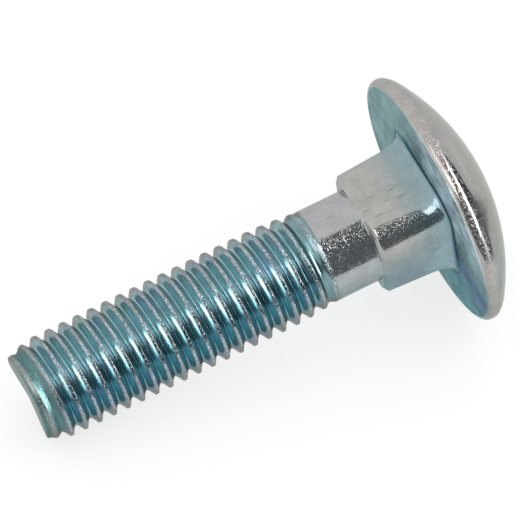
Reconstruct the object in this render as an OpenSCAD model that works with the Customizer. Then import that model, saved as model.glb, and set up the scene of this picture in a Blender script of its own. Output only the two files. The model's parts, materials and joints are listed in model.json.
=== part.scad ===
// Carriage bolt: a mushroom head on a forged square neck, a plain shank and a rolled thread.
// It is one solid, in millimetres. The sub-parts are drawn along +X, with the end of the thread
// at X = 0 and the head last. The bolt then lies on a flat surface, on the rim of its head and
// on the first full crest of its thread.

/* [Length] */
// Length from the end of the thread to the underside of the head
bolt_l = 49.8; // [46:0.1:90]

/* [Thread] */
// Diameter over the crests of the thread
thread_d = 11.75; // [11.5:0.05:12.5]
// Diameter at the roots of the thread
root_d = 9.9; // [9.4:0.05:10.3]
// Advance of the thread in one turn
pitch = 1.75; // [1.6:0.05:2.2]
// Length from the end of the thread to the plain shank
thread_l = 36; // [20:0.5:40]
// Width of the flat along the top of a crest
crest_w = 0.22; // [0.1:0.02:0.35]
// Radius left on the edges of a crest by the rolling
crest_r = 0.12; // [0.04:0.02:0.2]
// Length over which the crests sink to the shank
fade_l = 4.5; // [2:0.25:8]
// Length over which the roots rise to the shank
washout_l = 1.6; // [0.8:0.1:3]
// Diameter of the flat face at the end of the thread
end_d = 9.9; // [8.5:0.1:10.6]
// Length of the taper that leads a nut on to the thread
lead_l = 2.75; // [1.5:0.25:5]
// Angle round the axis at which the crest leaves the end face
thread_start = 6; // [0:1:359]
// How far the sheared end falls short of square on its low side
end_lean = 1; // [0:0.05:1.3]
// Angle round the axis of that low side
end_lean_at = 292; // [0:1:359]
// Angle over which the end leans, either way from there
end_lean_span = 58; // [30:1:80]
// Length of thread over which the lean runs out
end_lean_l = 2.4; // [2:0.1:2.7]

/* [Shank] */
// Diameter of the plain shank, as thick as the blank that the thread was rolled on
shank_d = 10.85; // [10.5:0.05:11.2]

/* [Square neck] */
// Width of the neck across its flats
neck_w = 11.35; // [11.3:0.05:13]
// Length of the neck
neck_l = 8.4; // [6:0.1:9.5]
// Radius of the neck's corners at the shank
corner_shank = 2.2; // [1.2:0.1:3]
// Radius of the neck's corners at the head
corner_head = 0.9; // [0.3:0.05:2]
// Length along the axis of the bevel on the neck's edge at the shank
bevel_l = 0.4; // [0.1:0.05:1]
// Depth of that bevel
bevel_h = 0.5; // [0.1:0.05:1]
// Height of the fillet where the neck flares into the head
fillet_h = 0.95; // [0.2:0.05:1.5]
// Length of that fillet along the neck
fillet_l = 2.6; // [1:0.1:4]

/* [Head] */
// Diameter of the head
head_d = 29.5; // [24:0.5:36]
// Height of the head
head_h = 6.6; // [5:0.1:8]
// Height of the rim, from the underside to the start of the dome
rim_h = 1.8; // [1.5:0.1:3]
// Radius of the rim's edge at the underside
rim_r = 0.7; // [0.2:0.05:0.8]
// Radius where the rim turns into the dome
brow_r = 0.5; // [0.2:0.05:0.6]

/* [Resting place] */
// Turn of the bolt about its own axis as it lies
roll = 9; // [-45:0.1:45]

/* [Hidden] */

zinc = [0.72, 0.78, 0.80];

// Facets: steps round the axis in one turn of the thread, in a corner of the neck and in its fillet
turn_n = 36;
corner_n = 6;
fillet_n = 5;
head_fn = 120;
// How far one sub-part runs into the next, so that they are one solid
overlap = 0.5;
// How far the thread's last ring lies under the surface of the shank
tuck = 0.03;
// How hollow the sheared end is in its middle
end_hollow = 0.3;

thread_r = thread_d / 2;
root_r = root_d / 2;
end_r = end_d / 2;
shank_r = shank_d / 2;
head_r = head_d / 2;
neck_x = bolt_l - neck_l;
thread_depth = thread_r - root_r;
// A metric thread's flanks stand 30 degrees off square to the axis
flank_run = tan(30);

// One pitch of the thread, from the middle of a root to the middle of the next. Each point is
// [place along the axis, share of the way up from root to crest].
crest_edge = crest_w / 2 + crest_r;
crest_foot = crest_edge + thread_depth * flank_run;
thread_form = [
    [crest_foot - pitch, 0],
    [-crest_edge, 1 - crest_r / thread_depth / 2],
    [-crest_w / 2, 1],
    [crest_w / 2, 1],
    [crest_edge, 1 - crest_r / thread_depth / 2],
    [crest_foot, 0]
];
form_n = len(thread_form);
first_turn = -2;
last_turn = ceil(thread_l / pitch) + 1;
row_n = form_n * (last_turn - first_turn + 1);

// Height of the crests and of the roots along the thread: they open at the tapered end, run
// level, and sink or rise to the blank at the shank
function lead_r(x) = end_r + (thread_r - end_r) * x / lead_l;
function sunk_crest_r(x) = shank_r - tuck + (thread_r - shank_r + tuck) * (thread_l - x) / fade_l;
function crest_at(x) = min(thread_r, lead_r(x), sunk_crest_r(x));
function risen_root_r(x) = shank_r - tuck - (shank_r - tuck - root_r) * (thread_l - x) / washout_l;
function root_at(x) = min(crest_at(x), max(root_r, risen_root_r(x)));

// Place along the axis of one row of the thread's surface at one step round the axis. A row
// runs along the helix, so that every crest and root is a clean line.
function row_x(row, step) =
    pitch * (first_turn + floor(row / form_n) + (step_deg(step) - thread_start) / 360)
    + thread_form[row % form_n][0];

// The middle of a facet of the thread, and not a corner, points down as the bolt lies
function step_deg(step) = 360 * (step + 0.5) / turn_n - 90 - roll;

// The end of the thread leans: one side of it falls short, and the first crests lean with it
function lean_x(x, step) =
    let (off = (step_deg(step) - end_lean_at + 900) % 360 - 180)
    end_lean * exp(-pow(off / end_lean_span, 2)) * max(0, 1 - x / end_lean_l);

function ring_point(x, r, step) =
    [x + lean_x(x, step), r * cos(step_deg(step)), r * sin(step_deg(step))];

function row_point(row, step) =
    let (
        x = row_x(row, step),
        r = root_at(x) + (crest_at(x) - root_at(x)) * thread_form[row % form_n][1]
    )
    ring_point(x, r, step);

// The rows are cut off at both ends of the thread. All that lies past an end, or within a
// sliver of it, becomes the one point of that end's ring.
sliver = pitch / 14;
end_ring = [for (step = [0:turn_n - 1]) ring_point(0, end_r, step)];
shank_ring = [for (step = [0:turn_n - 1]) ring_point(thread_l + overlap, shank_r - tuck, step)];
thread_rows = [for (step = [0:turn_n - 1]) for (row = [0:row_n - 1]) row_point(row, step)];

// Number of the point at a row and a step. The step after the last is the first one again,
// one turn of the helix on.
function point_at(row, step) =
    step == turn_n
        ? point_at(min(row + form_n, row_n - 1), 0)
        : let (x = row_x(row, step))
          x < sliver
              ? step
              : x > thread_l - sliver
                    ? turn_n + step
                    : 2 * turn_n + step * row_n + row;

function is_triangle(f) = f[0] != f[1] && f[1] != f[2] && f[2] != f[0];

module thread() {
    quads = [
        for (step = [0:turn_n - 1])
            for (row = [0:row_n - 2])
                [
                    point_at(row, step),
                    point_at(row + 1, step),
                    point_at(row + 1, step + 1),
                    point_at(row, step + 1)
                ]
    ];
    sides = [
        for (q = quads)
            for (f = [[q[0], q[1], q[2]], [q[0], q[2], q[3]]])
                if (is_triangle(f)) f
    ];
    end_middle = (2 + row_n) * turn_n;
    end_face = [for (step = [0:turn_n - 1]) [end_middle, step, (step + 1) % turn_n]];
    shank_face = [for (step = [turn_n - 1:-1:0]) turn_n + step];
    polyhedron(
        points = concat(end_ring, shank_ring, thread_rows, [[end_hollow, 0, 0]]),
        faces = concat(sides, end_face, [shank_face]),
        convexity = 10
    );
}

module shank() {
    translate([thread_l, 0, 0])
        rotate([0, 90, 0])
            cylinder(d = shank_d, h = bolt_l + overlap - thread_l, $fn = head_fn);
}

// A square with round corners, at a place along the axis, from its half width and corner radius
function square_ring(x, half_w, r) = [
    for (corner = [0:3])
        for (i = [0:corner_n - 1])
            let (
                turn = 90 * corner,
                a = turn + 90 * i / (corner_n - 1),
                c = (half_w - r) * sqrt(2)
            )
            [x, c * cos(turn + 45) + r * cos(a), c * sin(turn + 45) + r * sin(a)]
];

function corner_r(x) =
    corner_shank + (corner_head - corner_shank) * (x - neck_x) / neck_l;

// The neck's section at a place along the axis, grown or shrunk all round by one amount
function neck_ring(x, grown) = square_ring(x, neck_w / 2 + grown, corner_r(x) + grown);

module square_neck() {
    front = [neck_ring(neck_x, -bevel_h), neck_ring(neck_x + bevel_l, 0)];
    flare = [
        for (i = [0:fillet_n])
            let (a = 90 * i / fillet_n)
            neck_ring(bolt_l - fillet_l * (1 - sin(a)), fillet_h * (1 - cos(a)))
    ];
    root = [for (p = flare[fillet_n]) [bolt_l + overlap, p[1], p[2]]];
    rings = concat(front, flare, [root]);
    ring_n = 4 * corner_n;
    sides = [
        for (k = [0:len(rings) - 2])
            for (i = [0:ring_n - 1])
                let (j = (i + 1) % ring_n)
                [k * ring_n + i, (k + 1) * ring_n + i, (k + 1) * ring_n + j, k * ring_n + j]
    ];
    front_face = [for (i = [0:ring_n - 1]) i];
    root_face = [for (i = [ring_n - 1:-1:0]) (len(rings) - 1) * ring_n + i];
    polyhedron(
        points = [for (ring = rings) for (p = ring) p],
        faces = concat(sides, [front_face, root_face]),
        convexity = 4
    );
}

// The dome is part of a sphere whose top is the head's top. Its radius is the one at which it
// touches the round of the rim's upper edge.
brow_x = head_r - brow_r;
brow_y = rim_h - brow_r;
dome_r = (brow_x * brow_x + pow(head_h - brow_y, 2) - brow_r * brow_r)
    / (2 * (head_h - brow_y - brow_r));
dome_y = head_h - dome_r;
touch = dome_r / (dome_r - brow_r);

module head() {
    touch_x = brow_x * touch;
    touch_y = dome_y + (brow_y - dome_y) * touch;
    translate([bolt_l, 0, 0])
        rotate([0, 90, 0])
            rotate_extrude($fn = head_fn) {
                intersection() {
                    translate([0, dome_y]) circle(r = dome_r, $fn = 2 * head_fn);
                    polygon([
                        [0, 0], [head_r - rim_r, 0], [head_r, rim_r], [head_r, brow_y],
                        [touch_x, touch_y], [touch_x, head_h], [0, head_h]
                    ]);
                }
                translate([head_r - rim_r, rim_r]) circle(r = rim_r, $fn = 48);
                translate([brow_x, brow_y]) circle(r = brow_r, $fn = 48);
            }
}

// The bolt tips up towards its head until it rests on the rim and on the first full crest
bottom_turn = (270 - roll - thread_start) / 360;
rest_x = pitch * (ceil(lead_l / pitch - bottom_turn) + bottom_turn);
facet_share = cos(180 / turn_n);
rest_r = thread_r * facet_share;
rest_run = bolt_l + rim_r - rest_x;
rest_rise = head_r - rim_r - rest_r;
tilt = atan2(rest_rise, rest_run) + asin(rim_r / norm([rest_run, rest_rise]));
rest_z = rest_r * cos(tilt) - rest_x * sin(tilt);
// The middle of the lying bolt's length: its far ends are the end face's top and the dome
low_x = -end_r * facet_share * sin(tilt);
high_x = (bolt_l + dome_y) * cos(tilt) + dome_r;

module carriage_bolt() {
    color(zinc)
        translate([-(low_x + high_x) / 2, 0, rest_z])
            rotate([0, -tilt, 0])
                rotate([roll, 0, 0]) {
                    thread();
                    shank();
                    square_neck();
                    head();
                }
}

carriage_bolt();
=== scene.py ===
import json
import math

import bpy
import numpy as np
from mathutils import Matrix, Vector


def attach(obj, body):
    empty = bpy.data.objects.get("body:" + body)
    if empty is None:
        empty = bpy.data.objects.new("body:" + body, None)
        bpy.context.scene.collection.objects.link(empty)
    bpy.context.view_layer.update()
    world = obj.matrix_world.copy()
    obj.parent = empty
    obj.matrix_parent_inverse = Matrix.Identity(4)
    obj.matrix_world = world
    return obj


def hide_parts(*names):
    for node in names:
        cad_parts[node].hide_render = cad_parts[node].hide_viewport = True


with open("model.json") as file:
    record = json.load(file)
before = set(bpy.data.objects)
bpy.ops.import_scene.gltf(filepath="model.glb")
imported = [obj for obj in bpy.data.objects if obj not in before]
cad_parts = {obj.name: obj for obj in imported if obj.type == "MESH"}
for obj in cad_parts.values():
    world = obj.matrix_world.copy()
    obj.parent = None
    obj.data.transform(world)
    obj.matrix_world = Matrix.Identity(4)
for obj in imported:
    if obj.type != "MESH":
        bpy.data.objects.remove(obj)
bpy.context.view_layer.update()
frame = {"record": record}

# A zinc-plated carriage bolt lies on a pale floor in soft studio light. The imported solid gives
# its place; one finer closed mesh with the same main sizes stands for it. Lengths are in
# millimetres until a point is placed in the world, which is in metres.
MM = 0.001

# Sizes of the bolt, as in the part's source
BOLT_L = 49.8
THREAD_R, ROOT_R, SHANK_R, END_R = 5.875, 4.95, 5.425, 4.95
PITCH = 1.75
THREAD_L = 36.0
THREAD_START = 6.0
LEAD_L, FADE_L, WASHOUT_L = 2.75, 4.5, 1.6
END_LEAN, END_LEAN_AT, END_LEAN_SPAN, END_LEAN_L = 1.0, 292.0, 58.0, 2.4
END_HOLLOW = 0.3
NECK_HALF, NECK_L = 5.675, 8.4
CORNER_SHANK, CORNER_HEAD = 2.2, 0.9
# The corner between the upper and the front flat is worn rounder than the other three
WORN_CORNER, WORN_SHANK, WORN_HEAD = 1, 3.4, 2.5
BEVEL_L, BEVEL_H = 0.4, 0.5
FILLET_H, FILLET_L = 0.95, 2.6
HEAD_R, HEAD_H, RIM_R = 14.75, 6.6, 0.7
# The brow is a tight round and then a broad flat one, a little fuller than in the source
BROW_R, BROW_TURN, BROAD_R = 0.7, math.radians(32.0), 3.2
DOME_R = 24.05
ROLL = math.radians(9.0)
NECK_X = BOLT_L - NECK_L

# Columns of the fine mesh round the axis: in each quarter, half a flat, a corner, half a flat
FLAT_STEPS, CORNER_STEPS = 10, 24
CORNER_SPAN = 30.0


# Place of the bolt

def bolt_frame():
    """Origin, axis, sideways and upward directions of the lying bolt, in metres."""
    mount = next(m for m in frame["record"]["mounts"] if m["name"] == "thread")
    axis = -np.array(mount["axis"])
    axis /= np.linalg.norm(axis)
    side = np.array([0.0, 1.0, 0.0])
    up = np.cross(axis, side)
    turned_side = math.cos(ROLL) * side + math.sin(ROLL) * up
    turned_up = -math.sin(ROLL) * side + math.cos(ROLL) * up
    return np.array(mount["pos_m"]), axis, turned_side, turned_up


def to_world(points):
    """Points of the bolt, in metres as it lies."""
    origin, axis, side, up = bolt_frame()
    return origin + MM * (points[:, :1] * axis + points[:, 1:2] * side + points[:, 2:3] * up)


# Surfaces of the bolt

def smooth_min(a, b, k):
    h = np.maximum(k - np.abs(a - b), 0.0)
    return np.minimum(a, b) - h * h / (4.0 * k)


def smooth_max(a, b, k):
    return -smooth_min(-a, -b, k)


def step_up(x, low, high):
    t = np.clip((x - low) / (high - low), 0.0, 1.0)
    return t * t * (3.0 - 2.0 * t)


def column_layout():
    """Angles of the columns on a circle, in degrees, and each one's place on a round square."""
    angles, places = [], []
    edge = (90.0 - CORNER_SPAN) / 2.0
    for quarter in range(4):
        for i in range(FLAT_STEPS):
            t = i / FLAT_STEPS
            angles.append(90.0 * quarter + edge * t)
            places.append((quarter, "first", t))
        for i in range(CORNER_STEPS):
            t = i / CORNER_STEPS
            angles.append(90.0 * quarter + edge + CORNER_SPAN * t)
            places.append((quarter, "corner", t))
        for i in range(FLAT_STEPS):
            t = i / FLAT_STEPS
            angles.append(90.0 * quarter + 90.0 - edge + edge * t)
            places.append((quarter, "last", t))
    return np.array(angles), places


ANGLES, PLACES = column_layout()
COLUMNS = len(ANGLES)


def square_angles(half, radii):
    """Polar angle of each column on a square with four round corners, in degrees."""
    out = []
    for quarter, part, t in PLACES:
        r = radii[quarter]
        inner = half - r
        if part == "first":
            y, z = half, inner * t
        elif part == "corner":
            a = math.pi / 2 * t
            y, z = inner + r * math.cos(a), inner + r * math.sin(a)
        else:
            y, z = inner * (1.0 - t), half
        out.append(90.0 * quarter + math.degrees(math.atan2(z, y)))
    return np.array(out)


def square_radius(angles, half, radii):
    """Distance from the axis to that square's outline, at polar angles in degrees."""
    r = np.array(radii)[np.mod(angles // 90.0, 4).astype(int)]
    a = np.radians(np.mod(angles, 90.0))
    a = np.minimum(a, math.pi / 2 - a)
    flat = half / np.cos(a)
    inner = half - r
    along = inner * (np.cos(a) + np.sin(a))
    corner = along + np.sqrt(np.maximum(along * along - 2.0 * inner * inner + r * r, 0.0))
    return np.where(half * np.tan(a) <= inner, flat, corner)


# Rows across one turn of the thread, by distance from the middle of its crest
FORM = [0.0, 0.09, 0.135, 0.165, 0.20, 0.32, 0.48, 0.63, 0.74, 0.82, 0.875]
FORM = np.array([-v for v in FORM[:0:-1]] + FORM[:-1])
FLANK_FOOT = 0.73
FLANK_SLOPE = 1.62
CREST_ROUND, ROOT_ROUND = 0.04, 0.36
LEAD_ROUND, FADE_ROUND = 0.15, 0.2
END_EDGE_R = 0.22


def thread_share(u):
    """Share of the way from root to crest, at a distance along the axis from the crest."""
    depth = THREAD_R - ROOT_R
    flank = FLANK_SLOPE * (FLANK_FOOT - np.abs(u))
    height = smooth_max(smooth_min(flank, depth, CREST_ROUND), 0.0, ROOT_ROUND)
    return np.clip(height / depth, 0.0, 1.0)


def thread_radius(x, u):
    """Radius of the thread, with its lead-in, its run-out and the end's rounded edge."""
    lead = END_R + (THREAD_R - END_R) * x / LEAD_L
    sunk = SHANK_R + (THREAD_R - SHANK_R) * (THREAD_L - x) / FADE_L
    crest = smooth_min(smooth_min(lead, THREAD_R, LEAD_ROUND), sunk, FADE_ROUND)
    risen = SHANK_R - (SHANK_R - ROOT_R) * (THREAD_L - x) / WASHOUT_L
    root = np.minimum(smooth_max(risen, ROOT_R, FADE_ROUND), crest)
    r = root + (crest - root) * thread_share(u)
    into = np.clip(END_EDGE_R - x, 0.0, END_EDGE_R)
    return r - (END_EDGE_R - np.sqrt(END_EDGE_R * END_EDGE_R - into * into))


def end_shift(x, angles):
    """How far the sheared end falls short of square, over the first part of the thread."""
    off = np.mod(angles - END_LEAN_AT + 180.0, 360.0) - 180.0
    return END_LEAN * np.exp(-(off / END_LEAN_SPAN) ** 2) * np.maximum(0.0, 1.0 - x / END_LEAN_L)


# Colour of the plate by place: beige where it is rubbed, grey on the blank, teal and blue in
# grooves and corners. FRONT, LOW and PURPLE are for the sides that mirror something darker or
# paler, and hold part of that mirrored tone: painted reflection and painted shade. The dark blue
# in the thread's roots and in the neck's corner at the head is painted shade.
CREST, CREST_FRONT_PAINTED_REFLECTION = (0.345, 0.42, 0.445), (0.19, 0.24, 0.255)
FLANK, FLANK_FRONT_PAINTED_REFLECTION, FLANK_LOW_PAINTED_SHADE = (0.31, 0.50, 0.54), (0.40, 0.50, 0.53), (0.19, 0.42, 0.49)
ROOT_PAINTED_SHADE = (0.10, 0.26, 0.32)
LEAD, LEAD_CREST = (0.13, 0.25, 0.26), (0.30, 0.33, 0.32)
RUN_OUT = (0.19, 0.32, 0.345)
END_FACE = (0.23, 0.31, 0.285)
SHANK, SHANK_LOW_PAINTED_SHADE = (0.425, 0.43, 0.435), (0.30, 0.385, 0.40)
NECK, NECK_LOW_PAINTED_SHADE = (0.42, 0.42, 0.405), (0.225, 0.325, 0.355)
NECK_BY_HEAD, NECK_BY_HEAD_LOW_PAINTED_REFLECTION = (0.265, 0.37, 0.395), (0.29, 0.41, 0.45)
NECK_ROOT_PAINTED_SHADE = (0.10, 0.20, 0.27)
UNDERSIDE, UNDERSIDE_LOW_PAINTED_SHADE = (0.34, 0.46, 0.46), (0.22, 0.38, 0.41)
UNDERSIDE_FRONT_PAINTED_REFLECTION, UNDERSIDE_PURPLE_PAINTED_REFLECTION = (0.74, 0.88, 0.96), (0.20, 0.27, 0.38)
RIM, RIM_LOW_PAINTED_SHADE = (0.45, 0.42, 0.40), (0.37, 0.385, 0.37)
BROW = (0.41, 0.41, 0.40)
DOME, DOME_LOW_PAINTED_SHADE = (0.43, 0.42, 0.405), (0.21, 0.335, 0.345)
# Tint of what is seen at a shallow angle
THREAD_TINT = (0.58, 0.47, 0.43)
BLANK_TINT = (0.66, 0.68, 0.67)
UNDERSIDE_TINT = (0.40, 0.55, 0.56)
DOME_TINT = (0.66, 0.68, 0.65)
# Grain, roughness and strength of the film's colours
CREST_FEEL, FLANK_FEEL = (0.75, 0.2, 0.9), (0.1, 0.2, 0.6)
LEAD_FEEL, END_FEEL = (0.8, 0.34, 0.5), (0.8, 0.3, 0.6)
BLANK_FEEL, SHOULDER_FEEL, NECK_FEEL = (0.25, 0.13, 0.06), (0.3, 0.2, 0.0), (0.30, 0.14, 0.1)
UNDERSIDE_FEEL, RIM_FEEL, DOME_FEEL = (0.2, 0.46, 0.8), (0.5, 0.13, 0.2), (0.3, 0.18, 0.15)


def blend(a, b, t):
    return tuple(u + (v - u) * float(t) for u, v in zip(a, b))


def level_parts(angles):
    """How far each angle round the axis points to the front and up, as the bolt lies."""
    a = np.radians(angles)
    return -np.cos(a + ROLL), np.sin(a + ROLL)


# Heights, as shares of the radius, between which the painted shade and reflection of a lower side
# turn into an upper colour
LOW_ENDS, HIGH_STARTS = -0.7, 0.6


def by_height(low, high, points):
    """One colour for each point of a ring, from its lower to its upper side as the bolt lies. The
    lower colour is painted shade and reflection.
    """
    points = np.asarray(points)
    up = level_parts(np.degrees(np.arctan2(points[:, 2], points[:, 1])))[1]
    return [blend(low, high, t) for t in step_up(up, LOW_ENDS, HIGH_STARTS)]


class Grid:
    """Points and faces of a closed skin that is built ring by ring from one end."""

    def __init__(self):
        self.points, self.faces = [], []
        self.plate, self.edge, self.feel, self.place = [], [], [], []
        self.last = None
        self.tint = THREAD_TINT

    def point(self, point, plate, feel, axial=None):
        """Add a point with its colour and feel. Its place for patterns may follow the helix."""
        self.points.append(tuple(point))
        self.plate.append(plate)
        self.edge.append(self.tint)
        self.feel.append(feel)
        self.place.append((point[0] if axial is None else axial, point[1], point[2]))
        return len(self.points) - 1

    def ring(self, points, plates, feel):
        if isinstance(plates, tuple):
            plates = [plates] * COLUMNS
        ids = [self.point(point, plate, feel) for point, plate in zip(points, plates)]
        if self.last is not None:
            self.join(self.last, ids)
        self.last = ids

    def join(self, a, b):
        for i in range(COLUMNS):
            j = (i + 1) % COLUMNS
            self.faces.append((a[i], b[i], b[j], a[j]))

    def pole(self, point, plate, feel):
        tip = self.point(point, plate, feel)
        for i in range(COLUMNS):
            self.faces.append((self.last[i], tip, self.last[(i + 1) % COLUMNS]))


def circle_points(x, r):
    a = np.radians(ANGLES)
    return np.stack([np.full_like(a, x), r * np.cos(a), r * np.sin(a)], 1)


# Where the crest's colour and the root's painted shade begin and end, as shares of the thread's
# height
WORN_SHARES, DEEP_SHARES = (0.84, 0.97), (0.02, 0.2)
# Where the lead-in turns into full thread, and the full thread into run-out
LEAD_ENDS, RUN_OUT_STARTS = (1.4, 2.9), (THREAD_L - 4.0, THREAD_L - 1.0)
# Slopes round the axis in degrees, from the front upwards, at which the thread mirrors the cards.
# There the colour holds painted reflection and painted shade.
FRONT_SLOPE, FRONT_SPREAD = 49.0, 11.0
# Slopes at which the crests' darker painted reflection and the roots' painted shade rise and end
CREST_DIMS, ROOT_SHADES, DIM_RISE, DIM_ENDS = 11.0, -4.0, 14.0, (54.0, 66.0)
# Heights of the flanks between which their lower painted shade turns into their upper colour
UPPER_FLANKS = (0.1, 0.65)
# The helix starts two turns before the end and stops a turn past its last one. Points closer to
# either cut than a sliver go to the ring there.
TURNS_BEFORE, TURNS_PAST = 2, 1
SLIVER = 0.03


def thread_colours():
    """By angle round the axis: flank and crest colours with painted reflection and painted shade,
    and how much painted shade the roots get.
    """
    front, up = level_parts(ANGLES)
    upper = step_up(up, *UPPER_FLANKS)
    slope = np.degrees(np.arctan2(up, front))
    middle = np.exp(-((slope - FRONT_SLOPE) / FRONT_SPREAD) ** 2)
    facing, shaded = (step_up(slope, low, low + DIM_RISE) * (1.0 - step_up(slope, *DIM_ENDS))
                      for low in (CREST_DIMS, ROOT_SHADES))
    flanks = [blend(blend(FLANK_LOW_PAINTED_SHADE, FLANK, a), FLANK_FRONT_PAINTED_REFLECTION, b) for a, b in zip(upper, middle)]
    return flanks, [blend(CREST, CREST_FRONT_PAINTED_REFLECTION, t) for t in facing], shaded


def thread_look(x, worn, deep, flank, crest):
    """Colour and feel of one point of the thread, with painted shade in its root."""
    full = step_up(x, *LEAD_ENDS)
    flank = blend(blend(flank, ROOT_PAINTED_SHADE, deep), RUN_OUT, step_up(x, *RUN_OUT_STARTS))
    plate = blend(blend(LEAD, LEAD_CREST, worn), blend(flank, crest, worn), full)
    return plate, blend(LEAD_FEEL, blend(FLANK_FEEL, CREST_FEEL, worn), full)


def join_thread(grid, ids):
    """Faces between the columns. Past the last one the helix has climbed by one turn."""
    top = len(ids) - 1
    for c in range(COLUMNS):
        climb, beside = (0, c + 1) if c + 1 < COLUMNS else (len(FORM), 0)
        for k in range(top):
            right = ids[min(k + climb, top), beside], ids[min(k + 1 + climb, top), beside]
            corners = [int(v) for v in (ids[k, c], ids[k + 1, c], right[1], right[0])]
            face = [v for i, v in enumerate(corners) if v != corners[i - 1]]
            if len(set(face)) == len(face) and len(face) >= 3:
                grid.faces.append(tuple(face))


def add_thread(grid):
    """The threaded length: its rows run along the helix and are cut off at both ends."""
    grid.tint = THREAD_TINT
    turns = TURNS_BEFORE + math.ceil(THREAD_L / PITCH) + TURNS_PAST + 1
    row = np.arange(len(FORM) * turns)
    base = PITCH * (row // len(FORM) - TURNS_BEFORE) + FORM[row % len(FORM)]
    x = base[:, None] + PITCH * (ANGLES[None, :] - THREAD_START) / 360.0
    u = np.broadcast_to(FORM[row % len(FORM)][:, None], x.shape)
    r = thread_radius(np.clip(x, 0.0, THREAD_L), u)
    share = thread_share(u)
    worn, deep = step_up(share, *WORN_SHARES), 1.0 - step_up(share, *DEEP_SHARES)
    start, rim = grid.last, circle_points(THREAD_L, SHANK_R)
    # The ring where the thread ends has the shank's painted shade on its lower side.
    end = [grid.point(point, plate, BLANK_FEEL)
           for point, plate in zip(rim, by_height(SHANK_LOW_PAINTED_SHADE, SHANK, rim))]
    flanks, crests, shaded = thread_colours()
    ids = np.zeros(x.shape, int)
    for c in range(COLUMNS):
        a = math.radians(ANGLES[c])
        for k in row:
            if x[k, c] < SLIVER:
                ids[k, c] = start[c]
            elif x[k, c] > THREAD_L - SLIVER:
                ids[k, c] = end[c]
            else:
                along = x[k, c] + float(end_shift(x[k, c], ANGLES[c]))
                point = (along, r[k, c] * math.cos(a), r[k, c] * math.sin(a))
                # The root's painted shade grows with its depth and with the slope round the axis.
                plate, feel = thread_look(x[k, c], worn[k, c], deep[k, c] * shaded[c],
                                          flanks[c], crests[c])
                ids[k, c] = grid.point(point, plate, feel, base[k])
    join_thread(grid, ids)
    grid.last = end


END_RINGS = (0.08, 0.3, 0.55, 0.75, 0.9, 1.0)


def add_end_face(grid):
    """The slightly hollow end face, from its middle out to the first ring of the thread."""
    grid.tint = BLANK_TINT
    rim = END_R - END_EDGE_R
    centre = grid.point((END_HOLLOW, 0.0, 0.0), END_FACE, END_FEEL)
    for share in END_RINGS:
        points = circle_points(END_HOLLOW * (1.0 - share), rim * share)
        points[:, 0] += end_shift(0.0, ANGLES) * share
        grid.ring(points, END_FACE, END_FEEL)
    first = [centre + 1 + i for i in range(COLUMNS)]
    for i in range(COLUMNS):
        grid.faces.append((centre, first[i], first[(i + 1) % COLUMNS]))


def neck_state(x):
    """Half width and corner radii of the neck at a place along the axis."""
    along = (x - NECK_X) / NECK_L
    radii = [CORNER_SHANK + (CORNER_HEAD - CORNER_SHANK) * along] * 4
    radii[WORN_CORNER] = WORN_SHANK + (WORN_HEAD - WORN_SHANK) * along
    grown = -BEVEL_H * max(0.0, 1.0 - (x - NECK_X) / BEVEL_L)
    flare = (x - (BOLT_L - FILLET_L)) / FILLET_L
    if flare > 0.0:
        grown += FILLET_H * (1.0 - math.sqrt(max(1.0 - flare * flare, 0.0)))
    return NECK_HALF + grown, [r + grown for r in radii]


SHOULDER_WALL = 0.03
# Where the columns start and end to draw together, from the shoulder towards the head
SQUARING = (-0.4, 2.0)
NECK_ROUND = 0.08


def neck_points(x):
    """A ring of the neck. Its columns draw together at the corners past the shoulder."""
    half, radii = neck_state(max(x, NECK_X))
    mix = float(step_up(x - NECK_X, *SQUARING))
    angles = (1.0 - mix) * ANGLES + mix * square_angles(half, radii)
    square, shank = square_radius(angles, half, radii), np.full(COLUMNS, SHANK_R)
    radius = smooth_max(square, shank, NECK_ROUND)
    a = np.radians(angles)
    return np.stack([np.full(COLUMNS, x), radius * np.cos(a), radius * np.sin(a)], 1)


SHOULDER_RINGS = (0.0, 0.08, 0.5, 0.92, 1.0)
SHANK_GAPS, BEVEL_GAP, EDGE_GAP = (0.5, 0.1), 0.2, 0.03
SHANK_RINGS, NECK_RINGS, FILLET_RINGS = 10, 14, 18
# Lengths from the underside over which the neck turns bluer and then darkens into its root with
# painted shade
BY_HEAD_L, ROOT_L = (5.5, 0.4), 0.3


def add_shank(grid):
    """The plain shank and the shoulder that steps up from it to the neck, with painted shade on
    their lower side.
    """
    grid.tint = BLANK_TINT
    for x in np.linspace(THREAD_L + SHANK_GAPS[0], NECK_X - SHANK_GAPS[1], SHANK_RINGS):
        points = circle_points(x, SHANK_R)
        grid.ring(points, by_height(SHANK_LOW_PAINTED_SHADE, SHANK, points), BLANK_FEEL)
    foot, top = circle_points(NECK_X - SHOULDER_WALL, SHANK_R), neck_points(NECK_X)
    for t in SHOULDER_RINGS:
        points = foot + (top - foot) * t
        grid.ring(points, by_height(SHANK_LOW_PAINTED_SHADE, SHANK, points), SHOULDER_FEEL)


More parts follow.
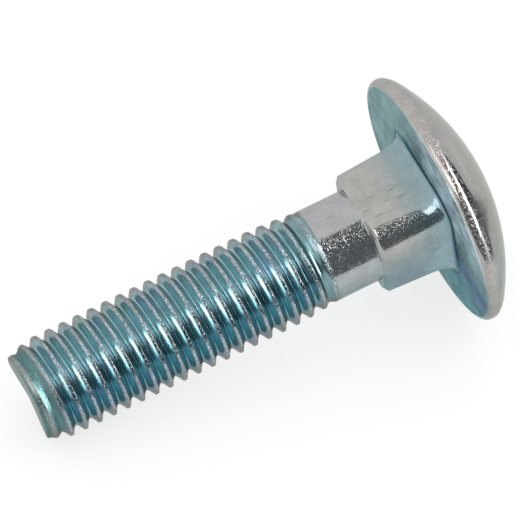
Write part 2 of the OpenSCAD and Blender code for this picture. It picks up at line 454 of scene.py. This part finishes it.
def add_neck(grid):
    """The square neck: its bevel, its flats and the fillet that flares into the head, with
    painted shade and reflection on its lower side and painted shade in its root.
    """
    bevel_end, fillet_start = NECK_X + BEVEL_L, BOLT_L - FILLET_L
    xs = [NECK_X + EDGE_GAP, NECK_X + 0.5 * BEVEL_L, bevel_end - EDGE_GAP, bevel_end + EDGE_GAP]
    xs += list(np.linspace(bevel_end + BEVEL_GAP, fillet_start, NECK_RINGS))
    turns = np.linspace(0.0, math.pi / 2, FILLET_RINGS)[1:]
    xs += list(BOLT_L - FILLET_L * (1.0 - np.sin(turns)))
    for x in xs:
        t = step_up(x, BOLT_L - BY_HEAD_L[0], BOLT_L - BY_HEAD_L[1])
        root = step_up(x, BOLT_L - ROOT_L, BOLT_L)
        low = blend(blend(NECK_LOW_PAINTED_SHADE, NECK_BY_HEAD_LOW_PAINTED_REFLECTION, t), NECK_ROOT_PAINTED_SHADE, root)
        high = blend(blend(NECK, NECK_BY_HEAD, t), NECK_ROOT_PAINTED_SHADE, root)
        points = neck_points(x)
        grid.ring(points, by_height(low, high, points), NECK_FEEL)


def brow_reach(turn):
    """How far the brow comes in and rises, from the rim to a place where it has turned so far."""
    tight, broad = min(turn, BROW_TURN), max(turn, BROW_TURN)
    inward = BROW_R * (1.0 - math.cos(tight)) + BROAD_R * (math.cos(BROW_TURN) - math.cos(broad))
    rise = BROW_R * math.sin(tight) + BROAD_R * (math.sin(broad) - math.sin(BROW_TURN))
    return inward, rise


BROW_STEPS = 8
FIRST_GUESS, GUESSES = math.radians(50.0), 40


def brow_profile():
    """Heights and radii from the rim to the dome, and the turn at which the dome takes over."""
    turn = FIRST_GUESS
    for _ in range(GUESSES):
        turn = math.acos((HEAD_R - brow_reach(turn)[0]) / DOME_R)
    start = HEAD_H - DOME_R * (1.0 - math.sin(turn)) - brow_reach(turn)[1]
    turns = list(np.linspace(0.0, BROW_TURN, BROW_STEPS))
    turns += list(np.linspace(BROW_TURN, turn, BROW_STEPS)[1:])
    reach = [brow_reach(t) for t in turns]
    return [(start + rise, HEAD_R - inward) for inward, rise in reach], turn


UNDERSIDE_RINGS = (0.015, 0.04, 0.08, 0.13, 0.2, 0.3, 0.4, 0.5, 0.6, 0.7, 0.8, 0.9, 0.97, 1.0)
RIM_RINGS, WALL_RINGS, DOME_RINGS = 11, 4, 44
# How far each colour blends into the next: a share of the underside, the rim's turn, rings of the
# brow, and a radius on the dome
ROOT_BLEND, RIM_BLEND, BROW_BLEND, DOME_BLEND = 0.12, (0.1, 0.9), 6.0, 7.0
# Where the underside's light, dark and purple shares of painted reflection and shade begin and
# end, to the front and up
LIGHT_FRONT, LIGHT_UP = (-0.1, 0.5), (-0.1, 0.45)
DARK_FRONT, DARK_DOWN = (-0.2, 0.3), (0.1, 0.5)
PURPLE_FRONT, PURPLE_DOWN, PURPLE_SPREAD = (0.4, 0.8), 0.45, 0.22


def underside_colours():
    """By angle round the axis, painted reflection and shade: light up in front, darker down in
    front, with a purple share.
    """
    front, up = level_parts(ANGLES)
    dark = step_up(front, *DARK_FRONT) * step_up(-up, *DARK_DOWN)
    light = step_up(front, *LIGHT_FRONT) * step_up(up, *LIGHT_UP)
    near = np.exp(-((up + PURPLE_DOWN) / PURPLE_SPREAD) ** 2)
    purple = step_up(front, *PURPLE_FRONT) * near
    plates = [UNDERSIDE] * COLUMNS
    for colour, shares in ((UNDERSIDE_LOW_PAINTED_SHADE, dark), (UNDERSIDE_FRONT_PAINTED_REFLECTION, light),
                           (UNDERSIDE_PURPLE_PAINTED_REFLECTION, purple)):
        plates = [blend(plate, colour, t) for plate, t in zip(plates, shares)]
    return plates


def add_underside(grid, under):
    """The flat underside, out from the neck's last ring, with the painted shade of the neck's
    root at its inner edge.
    """
    grid.tint = UNDERSIDE_TINT
    neck_end, circle = neck_points(BOLT_L), circle_points(BOLT_L, HEAD_R - RIM_R)
    for t in UNDERSIDE_RINGS:
        plates = [blend(NECK_ROOT_PAINTED_SHADE, plate, step_up(t, 0.0, ROOT_BLEND)) for plate in under]
        grid.ring(neck_end + (circle - neck_end) * t, plates, UNDERSIDE_FEEL)


def add_rim_and_brow(grid, under):
    """The rounded rim, its short wall and the brow up to the dome, with painted shade on the
    rim's lower side.
    """
    grid.tint = DOME_TINT
    rim = by_height(RIM_LOW_PAINTED_SHADE, RIM, circle_points(BOLT_L, HEAD_R))
    for turned in np.linspace(0.0, math.pi / 2, RIM_RINGS)[1:]:
        x = BOLT_L + RIM_R * (1.0 - math.cos(turned))
        r = HEAD_R - RIM_R + RIM_R * math.sin(turned)
        t = step_up(turned, *RIM_BLEND)
        plates = [blend(a, b, t) for a, b in zip(under, rim)]
        grid.ring(circle_points(x, r), plates, RIM_FEEL)
    brow = brow_profile()[0]
    for y in np.linspace(RIM_R, brow[0][0], WALL_RINGS)[1:-1]:
        grid.ring(circle_points(BOLT_L + y, HEAD_R), rim, RIM_FEEL)
    for k, (y, r) in enumerate(brow):
        plates = [blend(plate, BROW, min(1.0, k / BROW_BLEND)) for plate in rim]
        grid.ring(circle_points(BOLT_L + y, r), plates, RIM_FEEL)


def add_dome(grid):
    """The dome, from the brow to its middle, where it has one colour all round. Its lower side
    has painted shade.
    """
    grid.tint = DOME_TINT
    middle = blend(DOME_LOW_PAINTED_SHADE, DOME, 0.5)
    for turned in np.linspace(brow_profile()[1], math.pi / 2, DOME_RINGS)[1:-1]:
        x = BOLT_L + HEAD_H - DOME_R * (1.0 - math.sin(turned))
        r = DOME_R * math.cos(turned)
        points = circle_points(x, r)
        share = step_up(r, 0.0, DOME_BLEND)
        plates = [blend(middle, plate, share) for plate in by_height(DOME_LOW_PAINTED_SHADE, DOME, points)]
        grid.ring(points, plates, DOME_FEEL)
    grid.pole((BOLT_L + HEAD_H, 0.0, 0.0), middle, DOME_FEEL)


def paint(mesh, grid):
    """Give the mesh its colours, its feel and its place for patterns, point by point."""
    for name, values in (("plate", grid.plate), ("edge", grid.edge)):
        layer = mesh.attributes.new(name, "FLOAT_COLOR", "POINT")
        colours = np.hstack([np.array(values), np.ones((len(values), 1))])
        layer.data.foreach_set("color", colours.astype(np.float32).ravel())
    for name, values in (("feel", grid.feel), ("place", grid.place)):
        layer = mesh.attributes.new(name, "FLOAT_VECTOR", "POINT")
        layer.data.foreach_set("vector", np.array(values, np.float32).ravel())


def make_bolt():
    """The whole bolt as one closed mesh, from the end face to the top of the dome."""
    grid = Grid()
    add_end_face(grid)
    add_thread(grid)
    add_shank(grid)
    add_neck(grid)
    under = underside_colours()
    add_underside(grid, under)
    add_rim_and_brow(grid, under)
    add_dome(grid)
    mesh = bpy.data.meshes.new("bolt_skin")
    mesh.from_pydata(to_world(np.array(grid.points, float)).tolist(), [], grid.faces)
    mesh.validate()
    mesh.update()
    paint(mesh, grid)
    mesh.shade_smooth()
    bolt = bpy.data.objects.new("bolt_skin", mesh)
    bpy.context.scene.collection.objects.link(bolt)
    return bolt


# Materials

class Nodes:
    """Short calls for a material's node tree."""

    def __init__(self, material):
        material.use_nodes = True
        self.tree = material.node_tree
        self.tree.nodes.clear()

    def add(self, kind, **values):
        node = self.tree.nodes.new(kind)
        for name, value in values.items():
            setattr(node, name, value)
        return node

    def link(self, a, b):
        self.tree.links.new(a, b)

    def finish(self, surface):
        self.link(surface, self.add("ShaderNodeOutputMaterial").inputs["Surface"])

    def noise(self, vector, scale, detail=2.0, rough=0.5):
        node = self.add("ShaderNodeTexNoise")
        node.inputs["Scale"].default_value = scale
        node.inputs["Detail"].default_value = detail
        node.inputs["Roughness"].default_value = rough
        self.link(vector, node.inputs["Vector"])
        return node.outputs["Fac"]

    def ramp(self, value, low, high, out_low=0.0, out_high=1.0):
        node = self.add("ShaderNodeMapRange", interpolation_type="SMOOTHSTEP")
        names = ("From Min", "From Max", "To Min", "To Max")
        for name, v in zip(names, (low, high, out_low, out_high)):
            node.inputs[name].default_value = v
        self.link(value, node.inputs["Value"])
        return node.outputs["Result"]

    def times(self, vector, factors):
        node = self.add("ShaderNodeVectorMath", operation="MULTIPLY")
        self.link(vector, node.inputs[0])
        node.inputs[1].default_value = factors
        return node.outputs["Vector"]

    def scaled(self, vector, factor):
        node = self.add("ShaderNodeVectorMath", operation="SCALE")
        self.link(vector, node.inputs[0])
        self.link(factor, node.inputs["Scale"])
        return node.outputs["Vector"]

    def bump(self, height, distance, strength, normal=None):
        node = self.add("ShaderNodeBump")
        node.inputs["Distance"].default_value = distance
        if isinstance(strength, float):
            node.inputs["Strength"].default_value = strength
        else:
            self.link(strength, node.inputs["Strength"])
        self.link(height, node.inputs["Height"])
        if normal is not None:
            self.link(normal, node.inputs["Normal"])
        return node.outputs["Normal"]

    def math(self, operation, a, b):
        node = self.add("ShaderNodeMath", operation=operation)
        for socket, v in zip(node.inputs, (a, b)):
            if isinstance(v, (int, float)):
                socket.default_value = v
            else:
                self.link(v, socket)
        return node.outputs["Value"]

    def mix(self, fac, a, b):
        node = self.add("ShaderNodeMix", data_type="RGBA")
        for name, v in zip(("Factor", "A", "B"), (fac, a, b)):
            socket = node.inputs[name]
            if isinstance(v, (tuple, list)):
                socket.default_value = (*v, 1.0)
            elif isinstance(v, (int, float)):
                socket.default_value = v
            else:
                self.link(v, socket)
        return node.outputs["Result"]


PURPLE_SHIFT = (1.0, 0.95, 1.05)
# Noises: scale in 1/mm, detail and roughness
FINE, COARSE, HUE = (5.5, 1.0, 0.6), (0.6, 3.0, 0.55), (0.22, 2.0, 0.5)
ROLLED, ROLLED_STRETCH = (6.5, 2.0, 0.6), (1.0, 0.06, 0.06)
SCRATCH, SCRATCH_STRETCH = (1.6, 1.0, 0.5), (0.22, 1.6, 1.6)
# Ramps: where a noise starts and ends to count, and what it scales the colour or roughness by
HUE_RAMP, PITS_RAMP = (0.52, 0.66), (0.54, 0.69)
SPECKLE_RAMP, SCRATCH_RAMP = (0.42, 0.58, 0.6, 1.2), (0.69, 0.76, 1.0, 0.72)
CLOUD_RAMP, CLOUD_ROUGH_RAMP = (0.3, 0.7, 0.92, 1.06), (0.3, 0.7, 0.85, 1.2)
ROLLED_RAMP = (0.35, 0.65, 0.78, 1.15)
SPECKLE_BASE = 0.2
# Depths of the bumps, in metres
FINE_RELIEF, COARSE_RELIEF, ROLLED_RELIEF = 0.00003, 0.00001, 0.00002


def zinc_colour(n, place, grain, film, fine, coarse, rolled):
    """The plate's colour with purple patches, speckles, scratches, clouds and rolling lines."""
    plate = n.add("ShaderNodeAttribute", attribute_name="plate").outputs["Color"]
    purple = n.math("MULTIPLY", n.ramp(n.noise(place, *HUE), *HUE_RAMP), film)
    colour = n.mix(purple, plate, n.times(plate, PURPLE_SHIFT))
    speckle = n.math("MULTIPLY", grain, n.math("ADD", film, SPECKLE_BASE))
    colour = n.mix(speckle, colour, n.scaled(colour, n.ramp(fine, *SPECKLE_RAMP)))
    scratch = n.noise(n.times(place, SCRATCH_STRETCH), *SCRATCH)
    colour = n.mix(film, n.scaled(colour, n.ramp(scratch, *SCRATCH_RAMP)), colour)
    colour = n.scaled(colour, n.ramp(coarse, *CLOUD_RAMP))
    return n.mix(film, colour, n.scaled(colour, n.ramp(rolled, *ROLLED_RAMP)))


def zinc_material():
    """Bright zinc plate under a thin film: bluer in recesses, speckled and finely scored."""
    material = bpy.data.materials.new("zinc_plate")
    n = Nodes(material)
    place = n.add("ShaderNodeAttribute", attribute_name="place").outputs["Vector"]
    edge = n.add("ShaderNodeAttribute", attribute_name="edge").outputs["Color"]
    feel = n.add("ShaderNodeSeparateXYZ")
    n.link(n.add("ShaderNodeAttribute", attribute_name="feel").outputs["Vector"], feel.inputs[0])
    grain, rough, film = (feel.outputs[axis] for axis in "XYZ")
    fine, coarse = n.noise(place, *FINE), n.noise(place, *COARSE)
    rolled = n.noise(n.times(place, ROLLED_STRETCH), *ROLLED)
    shader = n.add("ShaderNodeBsdfPrincipled")
    colour = zinc_colour(n, place, grain, film, fine, coarse, rolled)
    n.link(colour, shader.inputs["Base Color"])
    shader.inputs["Metallic"].default_value = 1.0
    n.link(edge, shader.inputs["Specular Tint"])
    worn = n.ramp(coarse, *CLOUD_ROUGH_RAMP)
    n.link(n.math("MULTIPLY", rough, worn), shader.inputs["Roughness"])
    normal = n.bump(coarse, COARSE_RELIEF, 1.0)
    normal = n.bump(rolled, ROLLED_RELIEF, film, normal)
    normal = n.bump(n.ramp(fine, *PITS_RAMP), FINE_RELIEF, grain, normal)
    n.link(normal, shader.inputs["Normal"])
    n.finish(shader.outputs["BSDF"])
    return material


FLOOR_TONES = ((0.295, 0.295, 0.295), (0.305, 0.305, 0.305))
FLOOR_LIFT = 0.715
FLOOR_HALF, FLOOR_SCALE, FLOOR_ROUGH = 1.2, 40.0, 0.9


def floor_material():
    """Pale matt floor. What looks at it sees it a little brighter, so that it reads as white."""
    material = bpy.data.materials.new("pale_floor")
    n = Nodes(material)
    place = n.add("ShaderNodeTexCoord").outputs["Object"]
    shader = n.add("ShaderNodeBsdfPrincipled")
    n.link(n.mix(n.noise(place, FLOOR_SCALE), *FLOOR_TONES), shader.inputs["Base Color"])
    shader.inputs["Roughness"].default_value = FLOOR_ROUGH
    shader.inputs["Emission Color"].default_value = (1.0, 1.0, 1.0, 1.0)
    ray = n.add("ShaderNodeLightPath").outputs
    seen = n.math("ADD", n.math("ADD", ray["Is Camera Ray"], ray["Is Glossy Ray"]),
                  ray["Is Transmission Ray"])
    n.link(n.math("MULTIPLY", n.math("MINIMUM", seen, 1.0), FLOOR_LIFT),
           shader.inputs["Emission Strength"])
    n.finish(shader.outputs["BSDF"])
    return material


def glow_material(name, colour, strength):
    """A card's even glow."""
    material = bpy.data.materials.new(name)
    n = Nodes(material)
    emission = n.add("ShaderNodeEmission")
    emission.inputs["Color"].default_value = (*colour, 1.0)
    emission.inputs["Strength"].default_value = strength
    n.finish(emission.outputs["Emission"])
    return material


# Studio

# Cards round the bolt, on the floor or on a sphere: azimuths and elevations in degrees, then
# colour and strength. The dark flags stand where the camera stands and to its right.
STUDIO_R = 0.5
CARD_STEPS = 12
FLAG_NEAR, FLAG_LIFT = 0.064, 0.0004
FLAG_FRONT, FLAG_RIGHT = (-58.0, 30.0), (64.0, 98.0)
FLAG_COLOUR = (0.80, 0.94, 1.0)
FLOOR_FLAGS = (("flag_floor", FLAG_FRONT, 0.2), ("flag_floor_right", FLAG_RIGHT, 0.2))
FLAGS = (
    ("flag_low", FLAG_FRONT, (0.0, 38.0), FLAG_COLOUR, 0.20),
    ("flag_high", (-14.0, 30.0), (38.0, 82.0), FLAG_COLOUR, 0.18),
    ("flag_right", FLAG_RIGHT, (0.0, 40.0), FLAG_COLOUR, 0.06),
)
SOFTBOXES = (
    ("softbox_right", (33.0, 63.0), (8.0, 66.0), (1.0, 0.95, 0.93), 11.0),
    ("softbox_left", (-100.0, -62.0), (22.0, 48.0), (1.0, 1.0, 1.0), 2.4),
    ("softbox_front", (-60.0, -16.0), (39.0, 62.0), (1.0, 0.98, 0.97), 3.4),
)


def add_mesh(name, points, faces, material):
    mesh = bpy.data.meshes.new(name)
    mesh.from_pydata(points, [], faces)
    mesh.materials.append(material)
    obj = bpy.data.objects.new(name, mesh)
    bpy.context.scene.collection.objects.link(obj)
    return obj


def add_floor():
    corners = ((-1, -1), (1, -1), (1, 1), (-1, 1))
    points = [(FLOOR_HALF * x, FLOOR_HALF * y, 0) for x, y in corners]
    floor = add_mesh("floor", points, [(0, 1, 2, 3)], floor_material())


def add_card(name, points, faces, colour, strength):
    """A card that only shows in reflections."""
    card = add_mesh(name, points, faces, glow_material(name, colour, strength))
    card.visible_camera = False
    card.visible_diffuse = False
    card.visible_shadow = False


def direction(azimuth, elevation):
    """A unit vector: azimuth from -Y towards +X, elevation from the floor up, in radians."""
    level = math.cos(elevation)
    return Vector((math.sin(azimuth) * level, -math.cos(azimuth) * level, math.sin(elevation)))


def between(span, k):
    """Radians at one of a card's steps across a span in degrees."""
    return math.radians(span[0] + (span[1] - span[0]) * k / CARD_STEPS)


def add_patch(name, azimuths, elevations, colour, strength):
    """A card that is part of a sphere round the bolt, between two azimuths and two elevations."""
    points, faces = [], []
    for i in range(CARD_STEPS + 1):
        for k in range(CARD_STEPS + 1):
            towards = direction(between(azimuths, i), between(elevations, k))
            points.append(tuple(towards * STUDIO_R))
            if i and k:
                j = i * (CARD_STEPS + 1) + k
                faces.append((j, j - 1, j - CARD_STEPS - 2, j - CARD_STEPS - 1))
    add_card(name, points, faces, colour, strength)


def add_floor_card(name, azimuths, colour, strength):
    """A card that lies on the floor, from just outside the bolt to the studio's edge."""
    points = []
    for radius in (FLAG_NEAR, STUDIO_R):
        for k in range(CARD_STEPS + 1):
            x, y, _ = direction(between(azimuths, k), 0.0) * radius
            points.append((x, y, FLAG_LIFT))
    faces = [(k, k + 1, k + CARD_STEPS + 2, k + CARD_STEPS + 1) for k in range(CARD_STEPS)]
    add_card(name, points, faces, colour, strength)


def add_cards():
    """The dark flags and the soft boxes, from the tables above."""
    for name, azimuths, strength in FLOOR_FLAGS:
        add_floor_card(name, azimuths, FLAG_COLOUR, strength)
    for card in FLAGS + SOFTBOXES:
        add_patch(*card)


def add_world():
    """A plain white surround."""
    world = bpy.data.worlds.new("studio")
    bpy.context.scene.world = world
    world.use_nodes = True
    back = world.node_tree.nodes["Background"]
    back.inputs["Color"].default_value = (1.0, 1.0, 1.0, 1.0)
    back.inputs["Strength"].default_value = 1.0


AIM = Vector((1.397, 1.625, 13.052)) * MM
CAMERA_ELEVATION, CAMERA_AZIMUTH = math.radians(45.863), math.radians(-25.709)
CAMERA_DISTANCE = 0.83333
CAMERA_LENS = 528.6
SENSOR = 36.0


def add_camera():
    """A long lens that looks down on the bolt from the front and left."""
    data = bpy.data.cameras.new("camera")
    data.sensor_fit = "HORIZONTAL"
    data.sensor_width = SENSOR
    data.lens = CAMERA_LENS
    camera = bpy.data.objects.new("camera", data)
    bpy.context.scene.collection.objects.link(camera)
    back = direction(CAMERA_AZIMUTH, CAMERA_ELEVATION)
    camera.location = AIM + back * CAMERA_DISTANCE
    camera.rotation_euler = back.to_track_quat("Z", "Y").to_euler()
    bpy.context.scene.camera = camera


def main():
    add_camera()
    bolt = make_bolt()
    bolt.data.materials.append(zinc_material())
    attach(bolt, "root")
    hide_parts("carriage_bolt")
    add_floor()
    add_cards()
    add_world()
    bpy.context.scene.view_settings.view_transform = "Standard"


main()
